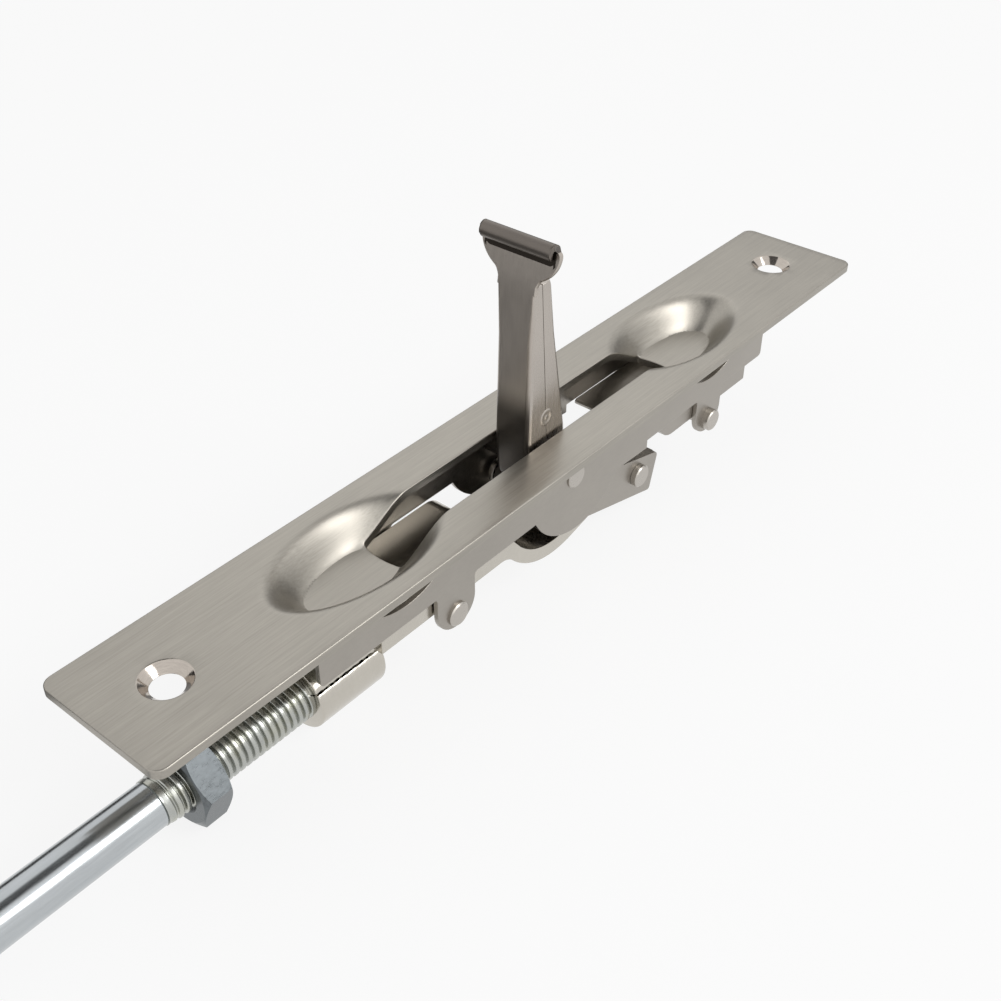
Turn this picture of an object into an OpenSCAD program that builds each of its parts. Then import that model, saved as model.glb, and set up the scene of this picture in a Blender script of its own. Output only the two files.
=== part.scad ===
// Lever-action flush bolt for the edge of a door.
// Units are millimetres. The faceplate lies in the XY plane with its back face at z = 0
// and its face looking up. The bolt rod points along -X.
// The origin is midway between the two fixing screws.

/* [Faceplate] */
// Length of the faceplate
plate_l = 180; // [174:1:190]
// Width of the faceplate
plate_w = 25; // [24:0.5:30]
// Sheet thickness of the faceplate
plate_t = 1.5; // [1.2:0.1:1.8]
// Corner radius in plan
plate_corner_r = 2; // [0.5:0.5:4]
// Rounding of the long and short upper edges
plate_edge_r = 0.6; // [0.2:0.1:1]
// Distance between the two screw holes
screw_spacing = 157; // [152:1:160]
// Screw hole diameter
screw_hole_d = 5; // [4:0.1:6]
// Countersink diameter at the face
countersink_d = 7.8; // [6.5:0.1:7.9]

/* [Slot and finger dishes] */
// Width of the lever slot
slot_w = 8.5; // [8:0.1:9.5]
// Length of the lever slot, from dish floor to dish floor
slot_l = 75.6; // [73:0.2:78]
// How far the end of the slot bows out
slot_end_bow = 0.6; // [0.2:0.1:1]
// Depth of the pressed dishes
dish_depth = 5.1; // [4.4:0.1:5.4]
// Distance from the end of the slot to the widest part of the dish
dish_inset = 4.2; // [3:0.1:6]
// Reach of the dish rim towards the screw
dish_reach_out = 18.5; // [16:0.5:20]
// Reach of the dish rim towards the lever
dish_reach_in = 17; // [14:0.5:18]
// Half width of the dish rim
dish_half_w = 9.8; // [9:0.1:10.5]
// Reach of the flat dish floor towards the screw
floor_reach_out = 11.3; // [10:0.1:12]
// Reach of the flat dish floor towards the lever
floor_reach_in = 7; // [6:0.1:8]
// Half width of the flat dish floor
floor_half_w = 4.7; // [4.4:0.1:5]

/* [Side plates] */
// Width over the outside of the two side plates
frame_w = 19.4; // [18.4:0.1:21]
// Sheet thickness of the side plates
side_t = 1; // [0.8:0.1:1.2]
// Length of the side plates
side_l = 120.6; // [116:0.2:124]
// Depth of the side plates below the faceplate
side_depth = 8.2; // [7.8:0.1:8.6]
// Radius of the round apron under the pivot
apron_r = 13.1; // [12.5:0.1:13.5]
// Depth of the middle of the apron's arc below the faceplate
apron_drop = 2.4; // [2:0.1:3]
// Place of the middle of the apron's arc along the plate
apron_x = 0.45; // [0:0.05:1]
// End of the stop tab beside the apron
stop_tab_x = 21; // [19:0.5:23]
// Depth of the stop tab at its end
stop_tab_depth = 9.9; // [9.2:0.1:10.2]
// Radius of the arc that clears each dish
dish_notch_r = 13; // [12:0.5:14]
// Depth of that arc below the faceplate
dish_notch_depth = 4.7; // [4.2:0.1:5.5]

/* [Guide lugs and pins] */
// Place of the front lug along the plate
front_lug_x = -31.2; // [-34:0.1:-29]
// Place of the rear lug along the plate
rear_lug_x = 41.8; // [39:0.1:44]
// Width of the front lug
front_lug_w = 8.8; // [7.5:0.1:9.5]
// Width of the rear lug
rear_lug_w = 8.4; // [7.5:0.1:9.5]
// Distance from the guide pins to the rounded ends of the lugs
lug_below_pin = 2.7; // [2.4:0.1:3.5]
// Diameter of the guide pins between the lugs
guide_pin_d = 3.2; // [2.4:0.1:3.4]
// Diameter of the riveted heads
rivet_head_d = 4.3; // [3.8:0.1:4.8]
// Height of the front guide pin's heads
front_head_h = 0.6; // [0.4:0.1:1.5]
// Height of the rear guide pin's heads
rear_head_h = 1.4; // [0.4:0.1:2]

/* [Pivot] */
// Place of the lever's pivot along the plate
pivot_x = -0.8; // [-2:0.1:1]
// Depth of the pivot below the faceplate
pivot_depth = 3.95; // [3.6:0.05:4.4]
// Diameter of the pivot pin
pivot_d = 4; // [3.4:0.1:4.2]
// Height of the pivot pin's flat heads
pivot_head_h = 0.4; // [0.2:0.1:0.8]
// Outer diameter of the spacers on the pivot pin
spacer_d = 5; // [4.8:0.1:5.2]
// Radial clearance of every turning fit
fit_clearance = 0.05; // [0.03:0.01:0.08]
// Gap between pieces that move past each other
side_gap = 0.2; // [0.1:0.05:0.3]

/* [Lever] */
// Lean of the lever towards the rod, as drawn
lever_lean = 4; // [0:0.5:8]
// Width of the lever's shank
shank_w = 7.3; // [6.6:0.1:7.6]
// Sheet thickness of the two lever shells
shell_t = 0.9; // [0.7:0.05:1.1]
// Half depth of the shank at the faceplate
shank_low = 5.15; // [4.8:0.05:5.3]
// Half depth of the shank under the head
shank_high = 2.2; // [2:0.05:2.4]
// Height above the pivot where the shank stops tapering and the head starts
shank_top = 34; // [32:0.5:35]
// Distance of the seam between the shells behind the middle of the shank
seam_back = 0; // [-0.3:0.1:0.6]
// Open gap along that seam
seam_gap = 0.1; // [0.05:0.05:0.2]
// Height of the lever above its pivot
lever_h = 43.2; // [42:0.1:44]
// Backward tilt of the head from the shank, in degrees
head_tilt = 12.5; // [10:0.5:16]
// Distance of the head's front face behind the shank's, where they join
neck_set_in = 0.25; // [0.1:0.05:0.4]
// Length of the neck inside the shank's front wall
neck_lap = 1; // [0.5:0.1:2]
// Half width of the head
head_half_w = 8.05; // [7.6:0.05:8.3]
// Outer radius of the rolled edge along the head
roll_r = 1.35; // [1.3:0.05:1.6]
// Half length of that rolled edge
roll_half_l = 7.4; // [6.5:0.1:7.8]
// Length of the head's straight sides, from its round chin up to the roll's middle
head_side_h = 0.3; // [0.2:0.1:1]
// Drop of the head's round chin below its widest part
chin_drop = 6.2; // [5.6:0.1:6.6]
// Height of the neck that joins the shank to the chin
neck_h = 3; // [2:0.1:3.5]
// Gap that is left open where the sheet curls back on itself
curl_gap = 0.3; // [0.1:0.1:0.5]
// Distance from the pivot to the crank pin
crank_r = 7; // [6.6:0.1:7.4]
// Diameter of the crank pin
crank_pin_d = 3; // [2.6:0.1:3.2]
// Wall of the crank round its pin
crank_foot_wall = 1.3; // [1:0.1:1.6]
// Outer diameter of the spacers on the crank pin
crank_spacer_d = 5; // [4.4:0.1:5.4]
// Height of the solid core above the faceplate
core_above_face = 12; // [8:1:16]

/* [Link] */
// Distance between the crank pin and the link pin
link_l = 22; // [21.5:0.1:22.6]
// Width over the outside of the link
link_w = 16; // [15.4:0.1:16.4]
// Sheet thickness of the link
link_t = 1; // [0.8:0.1:1.2]
// Height of the link's web above the line between its pins
link_above = 3.3; // [3:0.05:3.5]
// Depth of the link's cheeks below the line between its pins
link_below = 4.7; // [4.5:0.05:5]
// Radius of the link's boss round the crank pin
link_boss_r = 2.4; // [2.2:0.05:2.5]
// Depth of the link's neck below the line between its pins
link_neck = 1.5; // [1.2:0.1:1.8]
// Overhang of the link beyond the link pin
link_overhang = 6; // [5:0.1:6.4]
// Start of the link's full depth, measured from the crank pin
link_step = 7.3; // [7.2:0.1:8]
// Run of the slanted edge between the neck and the full depth
link_slant = 0.9; // [0.5:0.1:1.5]
// Cut corner at the link's free end
link_corner = 1; // [0.5:0.1:1.5]
// Start of the link's web, measured from the crank pin
link_web_start = 12; // [11.5:0.5:14]
// Length of the notch that the lever swings through in the web
link_notch_l = 5; // [4:0.5:6]
// Depth of the link pin below the faceplate
link_pin_depth = 16.5; // [16.2:0.05:16.8]
// Diameter of the link pin
link_pin_d = 2.2; // [2:0.1:2.3]
// Height of the link pin's heads
link_head_h = 1.2; // [0.6:0.1:1.5]

/* [Slider] */
// Thickness of the slider bar and of the tail plate
bar_t = 2.65; // [2.3:0.05:2.8]
// Depth of their undersides below the faceplate
bar_depth = 12.25; // [12.1:0.05:12.6]
// Start of the bend down to the trough
bend_x = -18.8; // [-19.6:0.1:-18.4]
// Radius of that bend at mid thickness
bend_r = 5.4; // [4.5:0.1:6]
// Slope of the bar between bend and trough, in degrees
bend_angle = 48; // [46:1:50]
// Left radius of the trough at mid thickness
trough_r = 14; // [13:0.5:15]
// Depth of the trough at mid thickness, below the flat of the bar
trough_drop = 6.45; // [6.3:0.05:6.6]
// Radius of the trough's rise towards the link
rise_r = 18; // [16:0.5:20]
// Slope of that rise, in degrees
rise_angle = 14; // [12:0.5:15]
// Where the bar narrows to its tongue
tongue_x = 5; // [4:0.1:5.1]
// Length of the bend from the rise to the level tongue
crest_run = 1.5; // [1:0.1:2]
// Outer radius of the eye round the link pin
eye_r = 1.8; // [1.6:0.05:1.8]
// Start of the socket that holds the rod
socket_x = -57.4; // [-58.4:0.1:-56.4]
// Length of the socket
socket_l = 13.6; // [12:0.1:15]
// Length of the socket under the full width of the bar
socket_tuck = 3; // [2:0.5:4]
// Wall thickness of the rolled socket
socket_t = 1.9; // [1.6:0.1:2.1]
// Width of the flat above the socket
socket_flat_w = 11; // [10:0.1:12]
// Width of the seam along the socket
seam_w = 0.5; // [0.3:0.1:0.7]
// Height of the seam up the near side of the socket, in degrees
seam_angle = 33; // [25:1:40]

/* [Bolt rod and nut] */
// Depth of the rod's axis below the faceplate
rod_depth = 18.2; // [17.9:0.1:18.5]
// Diameter of the plain rod
rod_d = 7.2; // [6.8:0.1:7.6]
// Outer diameter of the thread
thread_d = 8; // [7.8:0.1:8.2]
// Place along the plate where the thread stops
shoulder_x = -84.5; // [-88:0.5:-82]
// Length of the plain rod beyond the thread
rod_l = 110; // [40:1:250]
// Distance of the rod's inner end from the end of the socket
rod_set_back = 1; // [0.5:0.1:2]
// Chamfer at the rod's free end
rod_chamfer = 1; // [0.5:0.1:1.5]
// Place of the nut's front face along the plate
nut_x = -80.6; // [-81.5:0.1:-72]
// Height of the nut
nut_h = 5; // [4:0.1:6.5]
// Width of the nut across flats
nut_af = 13; // [12.6:0.1:13]
// Height of the nut's corner chamfers
nut_chamfer = 0.8; // [0.5:0.1:1]
// Turn of the nut about the rod, in degrees
nut_turn = 20; // [0:5:60]

/* [Tail plate] */
// Start of the tail plate along the plate
tail_x = 31; // [29:0.5:33]
// End of the tail plate along the plate
tail_end_x = 56.4; // [54:0.2:58]
// Radius of the tail plate's turned-up lip at mid thickness
tail_lip_r = 3; // [2.4:0.1:3.4]
// Turn of that lip, in degrees
tail_lip_angle = 50; // [30:5:60]

/* [Hidden] */
$fn = 64;
overcut = 1;
face_z = plate_t;
side_in = frame_w / 2 - side_t;
slider_half_w = side_in - side_gap;
pivot_z = -pivot_depth;
link_pin_z = -link_pin_depth;
rod_z = -rod_depth;

// The guide pins carry the slider bar on their backs
bar_low_z = -bar_depth;
bar_mid_z = bar_low_z + bar_t / 2;
bar_top_z = bar_low_z + bar_t;
guide_pin_z = bar_low_z - fit_clearance - guide_pin_d / 2;

// Crank pin and link as the lever stands
crank_x = pivot_x + crank_r * sin(lever_lean);
crank_z = pivot_z - crank_r * cos(lever_lean);
link_tilt = asin((crank_z - link_pin_z) / link_l);
link_pin_x = crank_x + link_l * cos(link_tilt);
link_in = link_w / 2 - link_t;

shank_in = shank_w / 2 - shell_t;
crank_w = shank_w - 2 * shell_t - side_gap;
lever_slot_z = face_z - pivot_z;
roll_up = (lever_h - roll_r - shank_top - (roll_r - shell_t) * sin(head_tilt)) / cos(head_tilt);

countersink_h = (countersink_d - screw_hole_d) / 2;
dish_x = slot_l / 2 + dish_inset;
dish_steps = 48;
dish_rings = 9;
rim_bow = 1.08;
rim_swell = 0.96;
floor_bow = 0.92;
floor_swell = 1.05;
soft_share = 0.55;

// Shapes that several sub-parts share

// Extrudes an outline drawn in X and Z by w, centred on y
module across(w) {
    rotate([90, 0, 0]) linear_extrude(w, center = true) children();
}

// Extrudes an outline drawn in Y and Z from x by l
module along(x, l) {
    translate([x, 0, 0]) rotate([90, 0, 90]) linear_extrude(l) children();
}

// A rod along Y through x and z, from y0 to y1
module cross_rod(x, z, d, y0, y1) {
    translate([x, y0, z]) rotate([-90, 0, 0]) cylinder(d = d, h = y1 - y0);
}

// A ring along Y
module cross_ring(x, z, d_out, d_in, y0, y1) {
    difference() {
        cross_rod(x, z, d_out, y0, y1);
        cross_rod(x, z, d_in, y0 - overcut, y1 + overcut);
    }
}

// A pin along Y with a riveted head outside each of two faces
module riveted_pin(x, z, d, grip, head_d, head_h) {
    cross_rod(x, z, d, -grip / 2 - head_h / 2, grip / 2 + head_h / 2);
    for (side = [-1, 1]) {
        y0 = side > 0 ? grip / 2 : -grip / 2 - head_h;
        cross_rod(x, z, head_d, y0, y0 + head_h);
    }
}

// Points on an arc
function arc(cx, cz, r, a0, a1, steps) =
    [for (i = [0 : steps]) let (a = a0 + (a1 - a0) * i / steps) [cx + r * cos(a), cz + r * sin(a)]];

// Faceplate

function signed_power(v, p) = sign(v) * pow(abs(v), p);

// A point on the dish rim (share 0), on the floor's edge (share 1), or between them
function dish_plan(a, share) =
    let (
        rim = [
            (cos(a) > 0 ? dish_reach_out : dish_reach_in) * signed_power(cos(a), rim_bow),
            dish_half_w * signed_power(sin(a), rim_swell),
        ],
        floor_edge = [
            (cos(a) > 0 ? floor_reach_out : floor_reach_in) * signed_power(cos(a), floor_bow),
            floor_half_w * signed_power(sin(a), floor_swell),
        ]
    )
    rim * (1 - share) + floor_edge * share;

// Soft at the rim and tighter where the wall meets the floor
function dish_fall(share) =
    let (soft = share * share * (3 - 2 * share), tight = 1 - cos(90 * share))
    dish_depth * (soft_share * soft + (1 - soft_share) * tight);

function dish_ring(share, z) = [
    for (i = [0 : dish_steps - 1])
        let (p = dish_plan(360 * i / dish_steps, share))
        [dish_x + p[0], p[1], z - dish_fall(share)]
];

// Quads between ring a and ring b, seen from above, or from below when flipped
function ring_band(a, b, flip) = [
    for (i = [0 : dish_steps - 1])
        let (
            j = (i + 1) % dish_steps,
            quad = [a * dish_steps + i, b * dish_steps + i, b * dish_steps + j, a * dish_steps + j]
        )
        each flip
            ? [[quad[0], quad[2], quad[1]], [quad[0], quad[3], quad[2]]]
            : [[quad[0], quad[1], quad[2]], [quad[0], quad[2], quad[3]]]
];

function ring_cap(a, flip) = [
    [for (i = [0 : dish_steps - 1]) a * dish_steps + (flip ? i : dish_steps - 1 - i)]
];

// The pressed sheet of one dish, from its rim to its flat floor
module dish_sheet() {
    rings = dish_rings + 1;
    top = [for (k = [0 : dish_rings]) each dish_ring(k / dish_rings, face_z)];
    low = [for (k = [0 : dish_rings]) each dish_ring(k / dish_rings, 0)];
    top_faces = [for (k = [0 : dish_rings - 1]) each ring_band(k, k + 1, false)];
    low_faces = [for (k = [0 : dish_rings - 1]) each ring_band(rings + k, rings + k + 1, true)];
    edge = ring_band(rings, 0, false);
    polyhedron(
        points = concat(top, low),
        faces = concat(
            top_faces, low_faces, edge, ring_cap(dish_rings, false), ring_cap(2 * rings - 1, true)
        ),
        convexity = 6
    );
}

module dish_opening() {
    translate([0, 0, -overcut])
        linear_extrude(face_z + 2 * overcut)
            polygon([for (p = dish_ring(0, 0)) [p[0], p[1]]]);
}

// The slot, with ends that bow out over the dish floors
module slot_outline() {
    half = slot_l / 2;
    bow_r = (slot_w * slot_w / 4 + slot_end_bow * slot_end_bow) / (2 * slot_end_bow);
    half_angle = asin(slot_w / 2 / bow_r);
    polygon(concat(
        arc(half - bow_r, 0, bow_r, -half_angle, half_angle, 12),
        arc(bow_r - half, 0, bow_r, 180 - half_angle, 180 + half_angle, 12)
    ));
}

module plate_blank() {
    half_l = plate_l / 2;
    half_w = plate_w / 2;
    intersection() {
        linear_extrude(face_z)
            for (sx = [-1, 1], sy = [-1, 1])
                union() {
                    square([plate_l - 2 * plate_corner_r, plate_w], center = true);
                    square([plate_l, plate_w - 2 * plate_corner_r], center = true);
                    translate([sx * (half_l - plate_corner_r), sy * (half_w - plate_corner_r)])
                        circle(plate_corner_r);
                }
        across(plate_w + 2 * overcut) rounded_section(half_l);
        along(-half_l - overcut, plate_l + 2 * overcut) rounded_section(half_w);
    }
}

// A section of the plate with its two upper corners rounded
module rounded_section(half) {
    translate([-half, -overcut]) square([2 * half, face_z - plate_edge_r + overcut]);
    translate([-half + plate_edge_r, -overcut])
        square([2 * (half - plate_edge_r), face_z + overcut]);
    for (side = [-1, 1])
        translate([side * (half - plate_edge_r), face_z - plate_edge_r]) circle(plate_edge_r);
}

module faceplate() {
    color([0.70, 0.68, 0.64])
        difference() {
            union() {
                difference() {
                    plate_blank();
                    dish_opening();
                    rotate(180) dish_opening();
                }
                dish_sheet();
                rotate(180) dish_sheet();
            }
            translate([0, 0, -dish_depth - overcut])
                linear_extrude(dish_depth + plate_t + 2 * overcut) slot_outline();
            for (side = [-1, 1])
                translate([side * screw_spacing / 2, 0, 0]) {
                    translate([0, 0, -overcut]) cylinder(d = screw_hole_d, h = face_z + 2 * overcut);
                    translate([0, 0, face_z - countersink_h])
                        cylinder(d1 = screw_hole_d, d2 = countersink_d, h = countersink_h);
                    translate([0, 0, face_z]) cylinder(d = countersink_d, h = overcut);
                }
        }
}

// Side plates

module lug_outline(x, w) {
    low_z = guide_pin_z - lug_below_pin;
    translate([x - w / 2, low_z + w / 2]) square([w, -side_depth - low_z - w / 2 + overcut]);
    translate([x, low_z + w / 2]) circle(d = w);
}

module side_outline() {
    half = side_l / 2;
    difference() {
        union() {
            translate([-half, -side_depth]) square([side_l, side_depth]);
            intersection() {
                translate([apron_x, -apron_drop]) circle(apron_r, $fn = 120);
                translate([-half, -side_depth - 2 * apron_r])
                    square([side_l, side_depth + 2 * apron_r]);
            }
            polygon([
                [apron_x, -side_depth + overcut],
                [apron_x, -side_depth - overcut],
                [stop_tab_x, -stop_tab_depth],
                [stop_tab_x, -side_depth + overcut],
            ]);
            lug_outline(front_lug_x, front_lug_w);
            lug_outline(rear_lug_x, rear_lug_w);
        }
        for (side = [-1, 1])
            translate([side * dish_x, dish_notch_r - dish_notch_depth])
                circle(dish_notch_r, $fn = 120);
    }
}

module side_plate(side) {
    y0 = side > 0 ? side_in : -side_in - side_t;
    difference() {
        translate([0, y0 + side_t / 2, 0]) across(side_t) side_outline();
        cross_rod(pivot_x, pivot_z, pivot_d, y0 - overcut, y0 + side_t + overcut);
        for (x = [front_lug_x, rear_lug_x])
            cross_rod(x, guide_pin_z, guide_pin_d, y0 - overcut, y0 + side_t + overcut);
    }
}

module side_plate_near() {
    color([0.66, 0.64, 0.62]) side_plate(-1);
}

module side_plate_far() {
    color([0.66, 0.64, 0.62]) side_plate(1);
}

// Fixed pins, spacers and tail plate

module guide_pin_front() {
    color([0.76, 0.74, 0.70])
        riveted_pin(front_lug_x, guide_pin_z, guide_pin_d, frame_w, rivet_head_d, front_head_h);
}

module guide_pin_rear() {
    color([0.76, 0.74, 0.70])
        riveted_pin(rear_lug_x, guide_pin_z, guide_pin_d, frame_w, rivet_head_d, rear_head_h);
}

module pivot_pin() {
    color([0.78, 0.76, 0.72])
        riveted_pin(pivot_x, pivot_z, pivot_d, frame_w, rivet_head_d, pivot_head_h);
}

module pivot_spacer(side) {
    from = shank_w / 2 + side_gap;
    y0 = side > 0 ? from : -side_in;
    cross_ring(pivot_x, pivot_z, spacer_d, pivot_d, y0, y0 + side_in - from);
}

module pivot_spacer_near() {
    color([0.62, 0.60, 0.56]) pivot_spacer(-1);
}

module pivot_spacer_far() {
    color([0.62, 0.60, 0.56]) pivot_spacer(1);
}

module tail_plate() {
    lip_z = bar_mid_z + tail_lip_r;
    outer = arc(tail_x, lip_z, tail_lip_r + bar_t / 2, 270, 270 - tail_lip_angle, 10);
    inner = arc(tail_x, lip_z, tail_lip_r - bar_t / 2, 270 - tail_lip_angle, 270, 10);
    color([0.72, 0.70, 0.66])
        across(2 * side_in)
            polygon(concat(
                [[tail_end_x, bar_top_z], [tail_end_x, bar_low_z]],
                outer,
                inner
            ));
}

// Lever, drawn upright about its pivot, then leaned

module lever_pose() {
    translate([pivot_x, 0, pivot_z]) rotate([0, -lever_lean, 0]) children();
}

// Half depth of the shank at a height above the pivot
function shank_half(h) =
    h <= lever_slot_z
        ? shank_low
        : shank_low + (shank_high - shank_low) * (h - lever_slot_z) / (shank_top - lever_slot_z);

// Side view of the lever from its round foot to a level top, less an inset all round
module shank_side(inset, top) {
    low = shank_low - inset;
    high = shank_half(top) - inset;
    polygon(concat(
        arc(0, 0, low, 180, 360, 32),
        [[low, lever_slot_z], [high, top], [-high, top], [-low, lever_slot_z]]
    ));
}

// One half of the pressed shank, on the front (-X) or back side of the seam
module shank_half_shell(front) {
    x0 = front ? -shank_low - overcut : seam_back + seam_gap / 2;
    x1 = front ? seam_back - seam_gap / 2 : shank_low + overcut;
    intersection() {
        difference() {
            across(shank_w) shank_side(0, shank_top);
            across(2 * shank_in) shank_side(shell_t, shank_top - shell_t);
            cross_rod(0, 0, pivot_d + 2 * side_gap, -shank_w, shank_w);
            translate([-shank_low - overcut, -shank_w, -shank_low - overcut])
                cube([2 * shank_low + 2 * overcut, 2 * shank_w, shank_low - pivot_d / 2 + overcut]);
        }
        translate([x0, -shank_w, -shank_low - overcut])
            cube([x1 - x0, 2 * shank_w, shank_low + 2 * overcut + shank_top]);
    }
}

// The T-shaped head: a sheet with a round chin and a rolled upper edge.
// It is drawn upright on its front face at the top of the shank, then tilted back.
module lever_head() {
    roll_x = shell_t - roll_r;
    chin_z = roll_up - head_side_h;
    chin = [for (a = [180 : 5 : 360]) [head_half_w * cos(a), chin_z + chin_drop * sin(a)]];
    translate([neck_set_in - shank_high, 0, shank_top])
        rotate([0, head_tilt, 0]) {
            rotate([90, 0, 90])
                linear_extrude(shell_t) {
                    polygon(concat(chin, [[head_half_w, roll_up], [-head_half_w, roll_up]]));
                    translate([-shank_w / 2, -neck_lap]) square([shank_w, neck_lap + neck_h]);
                }
            difference() {
                cross_ring(
                    roll_x, roll_up, 2 * roll_r, 2 * (roll_r - shell_t), -roll_half_l, roll_half_l
                );
                translate([roll_x - curl_gap, -head_half_w - overcut, roll_up - 2 * roll_r])
                    cube([roll_r + curl_gap - shell_t, 2 * (head_half_w + overcut), 2 * roll_r]);
            }
        }
}

module lever_front_shell() {
    color([0.42, 0.40, 0.38])
        lever_pose() {
            shank_half_shell(true);
            lever_head();
        }
}

module lever_back_shell() {
    color([0.60, 0.58, 0.54]) lever_pose() shank_half_shell(false);
}

// The solid core that carries the pivot bore and the crank pin
module lever_crank() {
    core_top = lever_slot_z + core_above_face;
    core_half = shank_half(core_top) - shell_t - side_gap;
    hub_r = shank_low - shell_t - side_gap;
    foot_r = crank_pin_d / 2 + crank_foot_wall;
    hub_span = 20;
    color([0.50, 0.48, 0.45])
        lever_pose()
            difference() {
                across(crank_w)
                    polygon(concat(
                        arc(0, -crank_r, foot_r, 180, 360, 24),
                        arc(0, 0, hub_r, -hub_span, hub_span, 8),
                        [[core_half, core_top], [-core_half, core_top]],
                        arc(0, 0, hub_r, 180 - hub_span, 180 + hub_span, 8)
                    ));
                cross_rod(0, 0, pivot_d + 2 * fit_clearance, -crank_w, crank_w);
                cross_rod(0, -crank_r, crank_pin_d, -crank_w, crank_w);
            }
}

// The crank pin stops short of the link's cheeks, where the linkage is opened
module crank_pin() {
    reach = link_in - side_gap;
    color([0.76, 0.74, 0.70]) cross_rod(crank_x, crank_z, crank_pin_d, -reach, reach);
}

module crank_spacer(side) {
    from = crank_w / 2;
    reach = link_in - 2 * side_gap;
    y0 = side > 0 ? from : -reach;
    cross_ring(crank_x, crank_z, crank_spacer_d, crank_pin_d, y0, y0 + reach - from);
}

module crank_spacer_near() {
    color([0.62, 0.60, 0.56]) crank_spacer(-1);
}

module crank_spacer_far() {
    color([0.62, 0.60, 0.56]) crank_spacer(1);
}

// Link, drawn level with its crank pin hole at the origin, then tilted down to the link pin

module link_cheek_outline() {
    right = link_l + link_overhang;
    polygon(concat(
        arc(0, 0, link_boss_r, 90, 270, 24),
        [[link_step - link_slant, -link_neck], [link_step, -link_below], [right, -link_below]],
        [[right, link_above - link_corner], [right - link_corner, link_above]],
        [[link_step, link_above]]
    ));
}

module link() {
    right = link_l + link_overhang;
    notch_w = shank_w + 4 * side_gap;
    color([0.68, 0.66, 0.63])
        translate([crank_x, 0, crank_z])
            rotate([0, link_tilt, 0])
                difference() {
                    union() {
                        for (side = [-1, 1])
                            translate([0, side * (link_in + link_t / 2), 0])
                                across(link_t) link_cheek_outline();
                        across(link_w)
                            translate([link_web_start, link_above - link_t])
                                square([right - link_corner - link_web_start, link_t]);
                    }
                    translate([link_web_start - overcut, -notch_w / 2, link_above - 2 * link_t])
                        cube([link_notch_l + overcut, notch_w, 3 * link_t]);
                    cross_rod(0, 0, crank_pin_d + 2 * fit_clearance, -link_w, link_w);
                    cross_rod(link_l, 0, link_pin_d + 2 * fit_clearance, -link_w, link_w);
                }
}

module link_pin() {
    grip = link_w + 2 * fit_clearance;
    color([0.76, 0.74, 0.70])
        riveted_pin(link_pin_x, link_pin_z, link_pin_d, grip, rivet_head_d, link_head_h);
}

// Slider

// Middle line of the bar from the socket to the link pin
low_x = bend_x + bend_r * sin(bend_angle) + trough_r * sin(bend_angle)
    + (trough_drop - (bend_r + trough_r) * (1 - cos(bend_angle))) / tan(bend_angle);
low_z = bar_mid_z - trough_drop;
rise_x = low_x + rise_r * sin(rise_angle);
rise_z = low_z + rise_r * (1 - cos(rise_angle));
crest_x = tongue_x + crest_run;
crest_z = rise_z + (crest_x - rise_x) * tan(rise_angle);

// Both faces of the bar, at offset side * bar_t / 2 from its middle line
function bar_face(side) =
    let (h = side * bar_t / 2)
    concat(
        [[socket_x, bar_mid_z + h]],
        arc(bend_x, bar_mid_z - bend_r, bend_r + h, 90, 90 - bend_angle, 10),
        arc(low_x, low_z + trough_r, trough_r - h, 270 - bend_angle, 270, 16),
        arc(low_x, low_z + rise_r, rise_r - h, 270, 270 + rise_angle, 6),
        [[crest_x - h * tan(rise_angle / 2), crest_z + h]],
        [[link_pin_x, link_pin_z + h]]
    );

function reversed(list) = [for (i = [len(list) - 1 : -1 : 0]) list[i]];

module bar_outline() {
    polygon(concat(bar_face(1), reversed(bar_face(-1))));
}

module socket_section() {
    bore = thread_d / 2;
    outer = bore + socket_t;
    difference() {
        union() {
            translate([0, rod_z]) circle(outer);
            translate([-socket_flat_w / 2, bar_low_z]) square([socket_flat_w, bar_t]);
            translate([-outer / 2, rod_z + bore]) square([outer, bar_mid_z - rod_z - bore]);
        }
        translate([0, rod_z]) circle(bore);
        translate([0, rod_z])
            rotate(180 - seam_angle)
                translate([0, -seam_w / 2]) square([outer + overcut, seam_w]);
    }
}

// A block from x0 to x1 that trims one edge of the bar back to half width w
module edge_cut(side, w, x0, x1, z, h) {
    reach = slider_half_w + overcut - w;
    translate([x0, side > 0 ? w : -w - reach, z]) cube([x1 - x0, reach, h]);
}

module slider() {
    socket_end = socket_x + socket_l;
    flat_end = socket_end - socket_tuck;
    tongue_half_w = link_in - side_gap;
    color([0.74, 0.71, 0.67])
        difference() {
            union() {
                difference() {
                    across(2 * slider_half_w) bar_outline();
                    for (side = [-1, 1]) {
                        edge_cut(side, tongue_half_w, tongue_x, plate_l, low_z - bar_t, rod_depth);
                        edge_cut(
                            side, socket_flat_w / 2, socket_x - overcut, flat_end,
                            bar_low_z - overcut, bar_t + 2 * overcut
                        );
                    }
                }
                along(socket_x, socket_l) socket_section();
                cross_rod(link_pin_x, link_pin_z, 2 * eye_r, -tongue_half_w, tongue_half_w);
            }
            cross_rod(link_pin_x, link_pin_z, link_pin_d, -plate_w, plate_w);
        }
}

// Bolt rod and lock nut

module bolt_rod() {
    inner_end = socket_x + socket_l - rod_set_back;
    free_end = shoulder_x - rod_l;
    color([0.74, 0.77, 0.80])
        translate([0, 0, rod_z])
            rotate([0, 90, 0]) {
                translate([0, 0, free_end])
                    cylinder(d1 = rod_d - 2 * rod_chamfer, d2 = rod_d, h = rod_chamfer);
                translate([0, 0, free_end + rod_chamfer])
                    cylinder(d = rod_d, h = rod_l - rod_chamfer);
                translate([0, 0, shoulder_x]) cylinder(d = thread_d, h = inner_end - shoulder_x);
            }
}

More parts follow.
